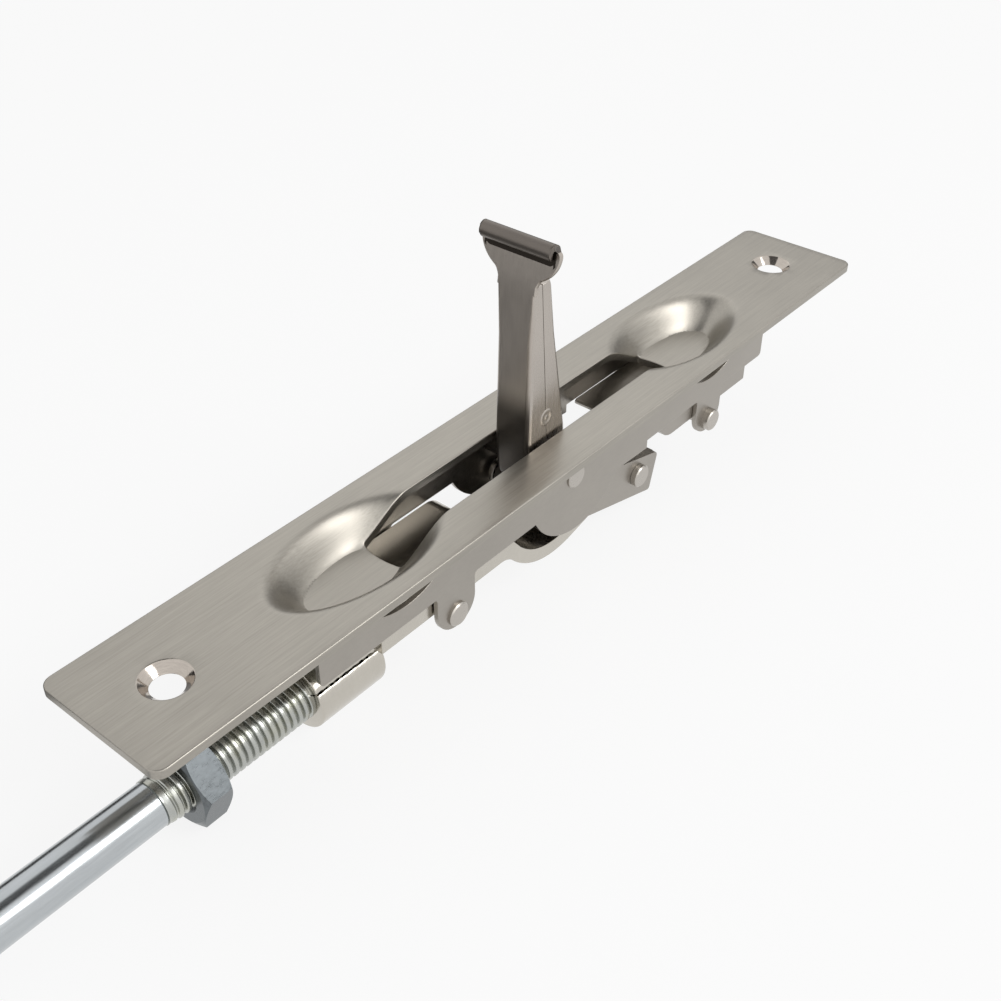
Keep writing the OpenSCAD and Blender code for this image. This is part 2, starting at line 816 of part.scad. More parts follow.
module lock_nut() {
    corner_d = nut_af / cos(30);
    wide_d = corner_d + side_gap;
    color([0.70, 0.73, 0.76])
        translate([nut_x, 0, rod_z])
            rotate([0, 90, 0])
                difference() {
                    intersection() {
                        rotate(nut_turn) cylinder(d = corner_d, h = nut_h, $fn = 6);
                        union() {
                            cylinder(d1 = nut_af, d2 = wide_d, h = nut_chamfer);
                            translate([0, 0, nut_chamfer])
                                cylinder(d = wide_d, h = nut_h - 2 * nut_chamfer);
                            translate([0, 0, nut_h - nut_chamfer])
                                cylinder(d1 = wide_d, d2 = nut_af, h = nut_chamfer);
                        }
                    }
                    translate([0, 0, -overcut]) cylinder(d = thread_d, h = nut_h + 2 * overcut);
                }
}

faceplate();
side_plate_near();
side_plate_far();
guide_pin_front();
guide_pin_rear();
tail_plate();
pivot_pin();
pivot_spacer_near();
pivot_spacer_far();
lever_front_shell();
lever_back_shell();
lever_crank();
crank_pin();
crank_spacer_near();
crank_spacer_far();
link();
link_pin();
slider();
bolt_rod();
lock_nut();
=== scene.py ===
"""Looks of the lever-action flush bolt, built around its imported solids.

Lengths are millimetres in the sizes and outlines, and metres in the meshes and on the stage.
"""
import math

import bmesh
import bpy
import numpy as np
from mathutils import Matrix, Vector
from mathutils.geometry import delaunay_2d_cdt


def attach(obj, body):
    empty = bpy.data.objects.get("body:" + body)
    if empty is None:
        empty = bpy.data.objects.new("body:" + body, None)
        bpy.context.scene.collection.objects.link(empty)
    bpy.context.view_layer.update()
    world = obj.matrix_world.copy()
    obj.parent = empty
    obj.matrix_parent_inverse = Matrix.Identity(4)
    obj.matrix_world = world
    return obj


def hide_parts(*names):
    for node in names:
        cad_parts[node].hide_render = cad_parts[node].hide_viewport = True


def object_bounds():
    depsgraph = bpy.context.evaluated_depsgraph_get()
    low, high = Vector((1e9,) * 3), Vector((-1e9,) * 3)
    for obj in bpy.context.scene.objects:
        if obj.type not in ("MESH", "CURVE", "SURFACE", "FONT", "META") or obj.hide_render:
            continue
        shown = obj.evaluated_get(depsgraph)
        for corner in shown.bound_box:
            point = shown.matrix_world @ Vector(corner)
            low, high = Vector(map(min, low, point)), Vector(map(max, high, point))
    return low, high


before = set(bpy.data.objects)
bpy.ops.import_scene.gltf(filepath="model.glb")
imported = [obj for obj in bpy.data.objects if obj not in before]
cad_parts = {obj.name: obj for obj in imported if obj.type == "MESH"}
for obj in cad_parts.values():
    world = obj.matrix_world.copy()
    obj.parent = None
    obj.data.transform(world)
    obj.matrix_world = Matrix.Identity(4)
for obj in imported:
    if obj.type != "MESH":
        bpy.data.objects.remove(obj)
CAD_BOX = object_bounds()
MM = 0.001

# Sizes that the part's source has too
PLATE_L = 180.0
PLATE_W = 25.0
PLATE_T = 1.5
PLATE_CORNER_R = 2.0
SCREW_X = 78.5
SCREW_R = 2.5
COUNTERSINK_R = 3.9
SLOT_HALF_W = 4.25
SLOT_HALF_L = 37.8
SLOT_BOW = 0.6
DISH_X = 42.0
DISH_DEPTH = 5.1
SIDE_IN = 8.7
SIDE_T = 1.0
GUIDE_Z = -13.9
GUIDE_R = 1.6
RIVET_R = 2.15
REAR_LUG_X = 41.8
FRONT_LUG_X = -31.2
PIVOT_X = -0.8
PIVOT_Z = -3.95
PIVOT_R = 2.0
LEVER_LEAN = math.radians(4)
SHANK_HALF_W = 3.65
SHELL_T = 0.9
SEAM_HALF_GAP = 0.05
SHANK_LOW = 5.15
SHANK_HIGH = 2.2
SHANK_TOP = 34.0
HEAD_TILT = math.radians(12.5)
ROLL_R = 1.35
CRANK_R = 7.0
LINK_L = 22.0
LINK_HALF_W = 8.0
LINK_PIN_Z = -16.5
LINK_PIN_R = 1.1
BAR_LOW_Z = -12.25
BAR_T = 2.65
BAR_WIDE_X = -46.8
ROD_Z = -18.2
ROD_R = 3.6
THREAD_R = 4.0
SHOULDER_X = -84.5
ROD_END_X = -194.5
SOCKET_X = -57.4
SOCKET_END_X = -43.8
SOCKET_R = 5.9
NUT_X = -80.6
NUT_H = 5.0
NUT_AF = 13.0

# Sizes of the finished forms, where the source has another value or none
PLATE_EDGE_R = 0.3
SLOT_EDGE_R = 0.22
FLARE_LOW = 25.0
SHANK_LID = 34.9
LEVER_H = 43.19
HEAD_HALF_W = 7.55
HEAD_SIDE_H = 1.0
CHIN_DROP = 5.6
NECK_SET_IN = -0.02
NECK_LAP = 9.0
ROLL_HALF_L = 7.0
# How far below the roll's top the painted shadow under the roll reaches
CREASE_SHADOW_DROP = 2.45
FLAT_TOP_Z = -8.15
TAIL_LIP_X = 23.4
PITCH = 1.25

HALF_FRAME = SIDE_IN + SIDE_T
SHANK_FOOT = PLATE_T - PIVOT_Z
CRANK_X = PIVOT_X + CRANK_R * math.sin(LEVER_LEAN)
CRANK_Z = PIVOT_Z - CRANK_R * math.cos(LEVER_LEAN)
LINK_TILT = math.asin((CRANK_Z - LINK_PIN_Z) / LINK_L)
LINK_PIN_X = CRANK_X + LINK_L * math.cos(LINK_TILT)
BAR_MID_Z = BAR_LOW_Z + BAR_T / 2
SHANK_SLOPE = (SHANK_LOW - SHANK_HIGH) / (SHANK_TOP - SHANK_FOOT)
ROLL_V = SHELL_T - ROLL_R
ROLL_UP = (LEVER_H - ROLL_R - SHANK_TOP + ROLL_V * math.sin(HEAD_TILT)) / math.cos(HEAD_TILT)


# Mesh helpers

def arc(cx, cy, r, a0, a1, steps):
    """Points on an arc, angles in degrees."""
    angles = np.radians(np.linspace(a0, a1, steps + 1))
    return [(cx + r * math.cos(a), cy + r * math.sin(a)) for a in angles]


def prism(outline, lo, hi, axis):
    """A closed prism of an outline. Axis y takes the outline as (x, z), x as (y, z) and z as (x, y)."""
    def point(p, d):
        return {"x": (d, p[0], p[1]), "y": (p[0], d, p[1]), "z": (p[0], p[1], d)}[axis]
    n = len(outline)
    verts = [point(p, lo) for p in outline] + [point(p, hi) for p in outline]
    faces = [tuple(range(n)), tuple(range(2 * n - 1, n - 1, -1))]
    faces += [(i, n + i, n + (i + 1) % n, (i + 1) % n) for i in range(n)]
    return verts, faces


def loft(rings, caps=True):
    """Quads between closed rings that have the same number of points."""
    n = len(rings[0])
    verts = [p for ring in rings for p in ring]
    faces = []
    for k in range(len(rings) - 1):
        for i in range(n):
            j = (i + 1) % n
            faces.append((k * n + i, k * n + j, (k + 1) * n + j, (k + 1) * n + i))
    if caps:
        faces.append(tuple(range(n - 1, -1, -1)))
        faces.append(tuple((len(rings) - 1) * n + i for i in range(n)))
    return verts, faces


def lathe(profile, steps, place):
    """Turns a profile of (along, radius) points. place(along, radius, angle) gives the point."""
    rings = [[place(a, r, 2 * math.pi * i / steps) for i in range(steps)] for a, r in profile]
    return loft(rings)


def merged(*parts):
    """Several vertex and face lists as one."""
    verts, faces = [], []
    for v, f in parts:
        base = len(verts)
        verts += list(v)
        faces += [tuple(base + i for i in face) for face in f]
    return verts, faces


def add_piece(name, shape, body, material, nodes=(), bevel=0.0, sharp=32.0):
    """A finished mesh piece that rides on a body and stands for CAD nodes.

    Edges sharper than `sharp` degrees are bevelled where there is a bevel, and shaded sharp otherwise.
    """
    verts, faces = shape
    bm = bmesh.new()
    made = [bm.verts.new(Vector(v) * MM) for v in verts]
    for face in faces:
        bm.faces.new([made[i] for i in face])
    bmesh.ops.remove_doubles(bm, verts=bm.verts, dist=1e-7)
    bmesh.ops.recalc_face_normals(bm, faces=bm.faces)
    limit = math.radians(sharp)
    if bevel:
        edges = [e for e in bm.edges if len(e.link_faces) == 2 and e.calc_face_angle(0) > limit]
        bmesh.ops.bevel(
            bm, geom=edges, offset=bevel * MM, segments=2, profile=0.5,
            affect="EDGES", clamp_overlap=True,
        )
    for face in bm.faces:
        face.smooth = True
    if not bevel:
        for edge in bm.edges:
            edge.smooth = len(edge.link_faces) == 2 and edge.calc_face_angle(0) < limit
    mesh = bpy.data.meshes.new(name)
    bm.to_mesh(mesh)
    bm.free()
    obj = bpy.data.objects.new(name, mesh)
    bpy.context.scene.collection.objects.link(obj)
    if bevel:
        modifier = obj.modifiers.new("normals", "WEIGHTED_NORMAL")
        modifier.keep_sharp = True
    mesh.materials.append(material)
    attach(obj, body)
    if nodes:
        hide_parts(*nodes)
    return obj


# Materials

class Nodes:
    """Adds and links the nodes of a material or a world, whose own nodes it clears."""

    def __init__(self, owner):
        owner.use_nodes = True
        self.tree = owner.node_tree
        self.tree.nodes.clear()

    def add(self, kind, **inputs):
        """A node with values on its inputs, whose names take underscores for spaces."""
        node = self.tree.nodes.new(kind)
        for key, value in inputs.items():
            node.inputs[key.replace("_", " ")].default_value = value
        return node

    def maximum(self):
        node = self.add("ShaderNodeMath")
        node.operation = "MAXIMUM"
        return node

    def color_mix(self, blend="MIX"):
        node = self.add("ShaderNodeMix")
        node.data_type = "RGBA"
        node.blend_type = blend
        return node

    def link(self, a, out, b, into):
        self.tree.links.new(a.outputs[out], b.inputs[into])

    def seen_directly(self):
        """A node whose value is 1 for what a camera, a mirror or clear glass shows, and else 0."""
        path = self.add("ShaderNodeLightPath")
        first = self.maximum()
        self.link(path, "Is Camera Ray", first, 0)
        self.link(path, "Is Glossy Ray", first, 1)
        second = self.maximum()
        self.link(first, "Value", second, 0)
        self.link(path, "Is Transmission Ray", second, 1)
        return second


PATCH_GRAIN = (70, 110, 90)
PATCH_DEPTH = 0.06
VEIL_GRAIN = (260, 420, 380)
ROUGH_SPREAD = 0.06


def noise(n, coords, grain, detail, rough=0.6):
    """A noise texture with its own scale along each axis, in cells per metre."""
    mapping = n.add("ShaderNodeMapping", Scale=grain)
    n.link(coords, "Object", mapping, "Vector")
    texture = n.add("ShaderNodeTexNoise", Scale=1.0, Detail=detail, Roughness=rough)
    n.link(mapping, "Vector", texture, "Vector")
    return texture


def spread(n, source, low, high, source_low=0.3, source_high=0.7):
    """Maps a noise value to a range."""
    node = n.add("ShaderNodeMapRange", From_Min=source_low, From_Max=source_high, To_Min=low, To_Max=high)
    n.link(source, "Fac", node, "Value")
    return node


def streaked(n, fine, color, streak):
    """The colour, darker and lighter along the brushing."""
    shade = n.color_mix()
    shade.inputs["A"].default_value = tuple(c * (1 - streak) for c in color) + (1,)
    shade.inputs["B"].default_value = tuple(min(1, c * (1 + streak)) for c in color) + (1,)
    n.link(spread(n, fine, 0, 1), "Result", shade, "Factor")
    return shade


def multiplied(n, tone, other, out):
    """The tone times another node's output."""
    product = n.color_mix("MULTIPLY")
    product.inputs["Factor"].default_value = 1.0
    n.link(tone, "Result", product, "A")
    n.link(other, out, product, "B")
    return product


def patched(n, coords, tone):
    """The tone with broad faint patches."""
    ramp = n.add("ShaderNodeValToRGB")
    dark, light = ramp.color_ramp.elements
    dark.position, light.position = 0.3, 0.7
    dark.color = (1 - PATCH_DEPTH,) * 3 + (1,)
    light.color = (1, 1, 1, 1)
    n.link(noise(n, coords, PATCH_GRAIN, detail=3.0), "Fac", ramp, "Fac")
    return multiplied(n, tone, ramp, "Color")


def veiled(n, coords, tone, tint, share):
    """The tone with a tint in cloudy places."""
    tinted = n.color_mix()
    tinted.inputs["B"].default_value = tuple(tint) + (1,)
    n.link(tone, "Result", tinted, "A")
    veil = noise(n, coords, VEIL_GRAIN, detail=2.0)
    n.link(spread(n, veil, 0, share, 0.45, 0.62), "Result", tinted, "Factor")
    return tinted


def add_painted_low_shade(n, coords, tone, low_z, high_z, low_share):
    """The tone with painted shade, darker towards a lower height."""
    split = n.add("ShaderNodeSeparateXYZ")
    n.link(coords, "Object", split, "Vector")
    level = n.add("ShaderNodeMapRange", From_Min=low_z * MM, From_Max=high_z * MM, To_Min=low_share)
    level.interpolation_type = "SMOOTHSTEP"
    n.link(split, "Z", level, "Value")
    return multiplied(n, tone, level, "Result")


def metal(name, color, roughness, grain=(110, 3600, 3600), streak=0.1, bump=0.006,
          tint=None, tint_share=0.0, painted_low_shade=None):
    """Brushed or plated metal. grain is the brushing's cells per metre along x, y and z.

    The last argument gives two heights in millimetres and the share of the colour at the lower one: painted
    shade, darker towards the lower height.
    """
    material = bpy.data.materials.new(name)
    n = Nodes(material)
    coords = n.add("ShaderNodeTexCoord")
    fine = noise(n, coords, grain, detail=5.0, rough=0.65)
    tone = patched(n, coords, streaked(n, fine, color, streak))
    if tint:
        tone = veiled(n, coords, tone, tint, tint_share)
    if painted_low_shade:
        tone = add_painted_low_shade(n, coords, tone, *painted_low_shade)
    shader = n.add("ShaderNodeBsdfPrincipled", Metallic=1.0)
    n.link(tone, "Result", shader, "Base Color")
    rough = spread(n, fine, roughness - ROUGH_SPREAD, roughness + ROUGH_SPREAD)
    n.link(rough, "Result", shader, "Roughness")
    height = n.add("ShaderNodeBump", Strength=0.5, Distance=bump * MM)
    n.link(fine, "Fac", height, "Height")
    n.link(height, "Normal", shader, "Normal")
    output = n.add("ShaderNodeOutputMaterial")
    n.link(shader, "BSDF", output, "Surface")
    return material


FACEPLATE = metal("faceplate_brushed", (0.385, 0.362, 0.322), 0.36, streak=0.12, bump=0.010)
SATIN = metal("satin_nickel", (0.38, 0.355, 0.32), 0.34, grain=(700, 900, 2400), streak=0.05)
PIN = metal("pin_nickel", (0.50, 0.47, 0.43), 0.30, grain=(700, 700, 700), streak=0.02, bump=0.001)
SLIDER = metal(
    "slider_nickel", (0.56, 0.53, 0.475), 0.20, grain=(1500, 300, 300), streak=0.03, bump=0.002,
)
# Painted shade: steel made nearly black, for the shaded inside of the frame
SPACER_PAINTED_SHADE = metal("spacer_steel", (0.10, 0.09, 0.08), 0.45, grain=(1200, 1200, 1200))
LEVER = metal(
    "lever_brushed", (0.48, 0.44, 0.40), 0.27, grain=(3200, 3200, 160), streak=0.04, bump=0.003,
)
# Painted shade: the lever's front is darker towards its foot, from 13 mm down to 6.5 mm
LEVER_FRONT_PAINTED_SHADE = metal(
    "lever_front_brushed_painted_shade", (0.49, 0.445, 0.40), 0.36, grain=(3200, 3200, 160), streak=0.04, bump=0.003,
    painted_low_shade=(6.5, 13.0, 0.22),
)
# Painted shade: the head's roll is the lever's metal made darker
LEVER_ROLL_PAINTED_SHADE = metal(
    "lever_roll_painted_shade", (0.175, 0.155, 0.138), 0.36, grain=(3200, 160, 3200), streak=0.05, bump=0.003,
)
# Painted shadow: near black, for the band of the head's front just under the roll
LEVER_CREASE_PAINTED_SHADOW = metal(
    "lever_crease_painted_shadow", (0.045, 0.038, 0.032), 0.5, grain=(3200, 160, 3200), streak=0.05, bump=0.003,
)
ZINC_ROD = metal("zinc_rod", (0.50, 0.525, 0.54), 0.20, grain=(160, 2600, 2600), streak=0.06)
ZINC_THREAD = metal(
    "zinc_thread", (0.47, 0.48, 0.455), 0.26, grain=(1200, 900, 900), streak=0.08,
    tint=(0.50, 0.49, 0.39), tint_share=0.35,
)
ZINC_NUT = metal(
    "zinc_nut", (0.145, 0.158, 0.165), 0.30, grain=(900, 1800, 1400), streak=0.20, bump=0.02,
)
COUNTERSINK = metal("countersink_turned", (0.52, 0.47, 0.42), 0.12, grain=(700, 700, 5200))


# Faceplate

def signed_power(v, p):
    return np.sign(v) * np.abs(v) ** p


def polar_table(out, back, half, power_x, power_y):
    """Angles and radii of an oval that reaches further on one side."""
    a = np.linspace(0, math.pi, 361)
    reach = np.where(np.cos(a) > 0, out, back)
    x = reach * signed_power(np.cos(a), power_x)
    y = half * signed_power(np.sin(a), power_y)
    return np.arctan2(y, x), np.hypot(x, y)


RIM = polar_table(out=18.5, back=17.0, half=9.8, power_x=1.08, power_y=0.96)
FLOOR = polar_table(out=11.3, back=7.0, half=4.7, power_x=0.92, power_y=1.05)


def dish_share(x, y):
    """0 outside a dish's rim, 1 on its floor."""
    best = np.zeros_like(x)
    for side in (-1, 1):
        u = side * x - DISH_X
        angle = np.arctan2(np.abs(y), u)
        rim = np.interp(angle, *RIM)
        floor = np.interp(angle, *FLOOR)
        best = np.maximum(best, np.clip((rim - np.hypot(u, y)) / (rim - floor), 0, 1))
    return best


def dish_fall(share):
    """How far the sheet has fallen at a share of the way down a dish's wall."""
    soft = share * share * (3 - 2 * share)
    tight = 1 - np.cos(share * math.pi / 2)
    return DISH_DEPTH * (0.55 * soft + 0.45 * tight)


def offset_loop(loop, distance):
    """The loop moved outwards along its normals. The loop runs counter-clockwise."""
    p = np.array(loop)
    tangent = np.roll(p, -1, 0) - np.roll(p, 1, 0)
    tangent /= np.linalg.norm(tangent, axis=1)[:, None]
    return p + distance * np.stack([tangent[:, 1], -tangent[:, 0]], 1)


def subdivide(points, step):
    """A closed loop with no side longer than step."""
    out = []
    for i, a in enumerate(points):
        b = points[(i + 1) % len(points)]
        count = max(1, int(math.ceil(math.dist(a, b) / step)))
        out += [(a[0] + (b[0] - a[0]) * k / count, a[1] + (b[1] - a[1]) * k / count)
                for k in range(count)]
    return out


def rounded_rectangle(half_l, half_w, r, steps=8):
    corners = [(half_l - r, half_w - r, 0), (r - half_l, half_w - r, 90),
               (r - half_l, r - half_w, 180), (half_l - r, r - half_w, 270)]
    return [p for x, y, a in corners for p in arc(x, y, r, a, a + 90, steps)]


def slot_loop():
    """The slot's edge: straight sides, bowed ends and small corner radii."""
    corner = 0.5
    bow_r = (SLOT_HALF_W ** 2 + SLOT_BOW ** 2) / (2 * SLOT_BOW)
    end = math.degrees(math.asin((SLOT_HALF_W - corner) / bow_r))
    right = arc(SLOT_HALF_L - bow_r, 0, bow_r, -end, end, 16)
    cx = right[-1][0] - corner
    cy = SLOT_HALF_W - corner
    turn = arc(cx, cy, corner, end, 90, 5)[1:]
    half = right + turn
    low = [(x, -y) for x, y in reversed(turn)]
    ring = low + half
    return ring + [(-x, -y) for x, y in ring]


def rounding(radius, steps):
    """(distance from the edge, drop) pairs over a rounded edge."""
    angles = [math.pi / 2 * k / steps for k in range(steps + 1)]
    return [(radius * (1 - math.cos(a)), radius * (1 - math.sin(a))) for a in angles]


def countersink():
    """(radius, drop) of each ring, from the hole's edge to the plate's face."""
    cone = COUNTERSINK_R - SCREW_R
    burr, lip, lip_drop = 0.08, 0.12, 0.03
    return ((SCREW_R, cone), (SCREW_R + burr, cone - burr), (COUNTERSINK_R - lip, lip),
            (COUNTERSINK_R, lip_drop), (COUNTERSINK_R + lip, 0))


def dish_points():
    """Points in rings over both dishes, from outside the rim to the middle of the floor."""
    angle = np.linspace(0, 2 * math.pi, 121)[:-1]
    folded = np.abs((angle + math.pi) % (2 * math.pi) - math.pi)
    rim = np.interp(folded, *RIM)
    floor = np.interp(folded, *FLOOR)
    wall_shares = [-0.3, -0.1, 0, 0.05, 0.1, 0.16, 0.22, 0.29, 0.36, 0.43, 0.5, 0.57, 0.64, 0.71, 0.78,
                   0.85, 0.91, 0.96, 1.0]
    floor_shares = (0.95, 0.8, 0.6, 0.35, 0.1)
    rings = [rim + (floor - rim) * s for s in wall_shares] + [floor * k for k in floor_shares]
    points = []
    for side in (-1, 1):
        for r in rings:
            x = side * (DISH_X + r * np.cos(angle))
            points += list(zip(x, r * np.sin(angle)))
    return points


def grid_points():
    """Points over the flat face, outside the dishes."""
    half_l, half_w, step, past_end = 88, 11, 2.2, 0.1
    grid_x = np.arange(-half_l, half_l + past_end, step)
    grid_y = np.arange(-half_w, half_w + past_end, step)
    gx, gy = np.meshgrid(grid_x, grid_y)
    share = dish_share(gx.ravel(), gy.ravel())
    return [(x, y) for x, y, s in zip(gx.ravel(), gy.ravel(), share) if s == 0]


def is_free(x, y):
    """Whether a point keeps off the slot's edge, the countersinks and the long edges."""
    slot_margin = SLOT_EDGE_R + 0.2
    screw_margin = 0.4
    edge_margin = PLATE_EDGE_R + 0.3
    in_slot = abs(x) < SLOT_HALF_L + slot_margin and abs(y) < SLOT_HALF_W + slot_margin
    near_screw = math.hypot(abs(x) - SCREW_X, y) < COUNTERSINK_R + screw_margin
    return not in_slot and not near_screw and abs(y) < PLATE_W / 2 - edge_margin


def in_loop(x, y, loop):
    """Whether a point lies within a closed loop."""
    a, b = loop, np.roll(loop, -1, 0)
    crossing = (a[:, 1] > y) != (b[:, 1] > y)
    with np.errstate(divide="ignore", invalid="ignore"):
        at = (b[:, 0] - a[:, 0]) * (y - a[:, 1]) / (b[:, 1] - a[:, 1]) + a[:, 0]
    return np.count_nonzero(crossing & (x < at)) % 2 == 1


def is_metal(x, y, outer, slot):
    """Whether a triangle's middle lies on the plate, and not in a hole, the slot or off a corner."""
    corner = PLATE_CORNER_R + 1
    in_hole = math.hypot(abs(x) - SCREW_X, y) < SCREW_R * 0.999
    in_slot = abs(x) < SLOT_HALF_L and abs(y) < SLOT_HALF_W and in_loop(x, y, slot)
    off_corner = abs(x) > PLATE_L / 2 - corner and not in_loop(x, y, outer)
    return not (in_hole or in_slot or off_corner)


def open_edges(triangles):
    """The edges that belong to one triangle only, in that triangle's direction."""
    seen = {}
    for t in triangles:
        for a, b in zip(t, t[1:] + t[:1]):
            seen.setdefault((min(a, b), max(a, b)), []).append((a, b))
    return [pairs[0] for pairs in seen.values() if len(pairs) == 1]


def build_faceplate():
    """The pressed sheet: triangles between its edge loops, lowered where the dishes are."""
    points, drops, edges = [], [], []

    def add_loop(loop, drop):
        base = len(points)
        points.extend(tuple(map(float, p)) for p in loop)
        drops.extend([drop] * len(loop))
        edges.extend((base + i, base + (i + 1) % len(loop)) for i in range(len(loop)))

    outer = subdivide(rounded_rectangle(PLATE_L / 2, PLATE_W / 2, PLATE_CORNER_R), step=2.5)
    slot = subdivide(slot_loop(), step=0.7)
    for distance, drop in rounding(PLATE_EDGE_R, steps=6):
        add_loop(offset_loop(outer, -distance), drop)
    for distance, drop in rounding(SLOT_EDGE_R, steps=4):
        add_loop(offset_loop(slot, distance), drop)
    for side in (-1, 1):
        for r, drop in countersink():
            add_loop(arc(side * SCREW_X, 0, r, 0, 360, 64)[:-1], drop)
    for x, y in dish_points() + grid_points():
        if is_free(x, y):
            points.append((float(x), float(y)))
            drops.append(0.0)
    result = delaunay_2d_cdt([Vector(p) for p in points], edges, [], 0, 1e-5, True)
    flat, triangles, origin = result[0], result[2], result[3]
    xy = np.array([(p.x, p.y) for p in flat])
    drop = np.array([drops[o[0]] if o else 0.0 for o in origin])
    fall = dish_fall(dish_share(xy[:, 0], xy[:, 1]))
    top = [(x, y, PLATE_T - f - d) for (x, y), f, d in zip(xy, fall, drop)]
    low = [(x, y, -f) for (x, y), f in zip(xy, fall)]
    outer_xy, slot_xy = np.array(outer), np.array(slot)
    kept = [tuple(t) for t in triangles if is_metal(*xy[list(t)].mean(0), outer_xy, slot_xy)]
    count = len(top)
    faces = kept + [tuple(count + i for i in reversed(t)) for t in kept]
    faces += [(b, a, count + a, count + b) for a, b in open_edges(kept)]
    used = sorted(set(i for f in faces for i in f))
    renumber = {old: new for new, old in enumerate(used)}
    verts = [(top + low)[i] for i in used]
    faces = [tuple(renumber[i] for i in f) for f in faces]
    obj = add_piece(
        "faceplate_sheet", (verts, faces), "frame", FACEPLATE, ["faceplate"],
        sharp=25,
    )
    obj.data.materials.append(COUNTERSINK)
    for polygon in obj.data.polygons:
        c = polygon.center / MM
        on_back = c.z <= -0.1 or polygon.normal.z <= -0.5
        if math.hypot(abs(c.x) - SCREW_X, c.y) < COUNTERSINK_R and not on_back:
            polygon.material_index = 1


build_faceplate()


# Side plates

def notch(side):
    """The arc under a dish, from left to right along the top edge."""
    r, depth = 13.0, 4.7
    cx, cz = side * DISH_X, r - depth
    half = math.degrees(math.acos(cz / r))
    return arc(cx, cz, r, 270 - half, 270 + half, 28)


def lug(x, w, low_z, top_z):
    """A round-ended lug, from right to left along the lower edge."""
    r = w / 2
    fillet = 0.7
    right = arc(x + r + fillet, top_z - fillet, fillet, 90, 180, 4)
    left = arc(x - r - fillet, top_z - fillet, fillet, 0, 90, 4)
    return right + arc(x, low_z + r, r, 0, -180, 24) + left


def side_outline():
    """A side plate as (x, z): its top edge, one end, its lower edge and the other end."""
    half, low, corner = 60.3, -8.2, 0.8
    apron_x, apron_z, apron_r, apron_end_z = 0.45, -2.4, 13.1, -9.57
    tab_x, tab_z = 21.0, -9.9
    rear_lug_w, front_lug_w = 8.4, 8.8
    lug_low = GUIDE_Z - 2.7
    right_a = math.degrees(math.asin((apron_end_z - apron_z) / apron_r))
    left_a = 180 - math.degrees(math.asin((low - apron_z) / apron_r))
    top = [(-half, 0)] + notch(-1) + notch(1) + [(half, 0)]
    end = arc(half - corner, low + corner, corner, 0, -90, 4)
    bottom = lug(REAR_LUG_X, rear_lug_w, lug_low, low)
    bottom += [(tab_x, low), (tab_x, tab_z)]
    bottom += arc(apron_x, apron_z, apron_r, right_a, left_a - 360, 40)
    bottom += lug(FRONT_LUG_X, front_lug_w, lug_low, low)
    return top + end + bottom + arc(corner - half, low + corner, corner, -90, -180, 4)


for side, word in ((-1, "near"), (1, "far")):
    lo, hi = sorted((side * SIDE_IN, side * HALF_FRAME))
    add_piece(
        f"side_plate_{word}_sheet", prism(side_outline(), lo, hi, "y"), "frame",
        SATIN, [f"side_plate_{word}"], bevel=0.14,
    )


# Pins

def cross_pin(x, z, r, half_grip, head_h):
    """A pin along y with a chamfered flat head at both ends."""
    end = half_grip + head_h
    edge = min(0.22, head_h * 0.45)
    profile = [(-end, RIVET_R - edge), (-end + edge, RIVET_R), (-half_grip, RIVET_R), (-half_grip, r)]
    profile = profile + [(-a, b) for a, b in reversed(profile)]

    def place(along, radius, angle):
        return x + radius * math.cos(angle), along, z + radius * math.sin(angle)
    return lathe(profile, 48, place)


# Node, body, x, z, radius, half grip and head height
PINS = (
    ("guide_pin_front", "frame", FRONT_LUG_X, GUIDE_Z, GUIDE_R, HALF_FRAME, 0.6),
    ("guide_pin_rear", "frame", REAR_LUG_X, GUIDE_Z, GUIDE_R, HALF_FRAME, 1.4),
    ("pivot_pin", "frame", PIVOT_X, PIVOT_Z, PIVOT_R, HALF_FRAME, 0.4),
    ("link_pin", "slider", LINK_PIN_X, LINK_PIN_Z, LINK_PIN_R, LINK_HALF_W + 0.05, 1.2),
)
for node, body, *sizes in PINS:
    add_piece(f"{node}_rivet", cross_pin(*sizes), body, PIN, [node], sharp=30)


# Lever

def lever_place(x, y, h):
    """From the lever's own upright frame, about its pivot, to where it stands."""
    c, s = math.cos(LEVER_LEAN), math.sin(LEVER_LEAN)
    return PIVOT_X + x * c - h * s, y, PIVOT_Z + x * s + h * c


def shank_half(h):
    """How far the shank's front and back stand from its middle at a height above the pivot."""
    if h < 0:
        return math.sqrt(SHANK_LOW ** 2 - h * h)
    if h < SHANK_FOOT:
        return SHANK_LOW
    if h > SHANK_TOP:
        behind_head = 0.05
        return SHANK_HIGH - (h - SHANK_TOP) * math.tan(HEAD_TILT) - behind_head
    return SHANK_LOW - SHANK_SLOPE * (h - SHANK_FOOT)


def channel_section(depth, sign, r_out):
    """A U-shaped sheet section: its back at x = sign * depth, its free edges by the seam."""
    r_in = 0.25
    bends = np.linspace(0, math.pi / 2, 6)

    def half_section(x, y, r):
        turn = [(x - r + r * math.sin(a), y - r + r * math.cos(a)) for a in bends]
        return [(SEAM_HALF_GAP, y)] + turn

    outer = half_section(depth, SHANK_HALF_W, r_out)
    inner = half_section(depth - SHELL_T, SHANK_HALF_W - SHELL_T, r_in)
    outer += [(x, -y) for x, y in reversed(outer)]
    inner += [(x, -y) for x, y in reversed(inner)]
    return [(sign * x, y) for x, y in outer + list(reversed(inner))]


def shell(sign):
    """One half of the shank: the front at sign -1 and the back at 1."""
    heights = [-2, -1, 0, 2.5, SHANK_FOOT, 10, 15, 20, FLARE_LOW, 28, 31, SHANK_TOP, SHANK_LID]
    fold_r, fold_r_at_top = 1.0, 0.3
    rings = []
    for h in heights:
        r_out = float(np.interp(h, (FLARE_LOW, SHANK_TOP), (fold_r, fold_r_at_top)))
        section = channel_section(shank_half(h), sign, r_out)
        rings.append([lever_place(x, y, h) for x, y in section])
    return loft(rings)


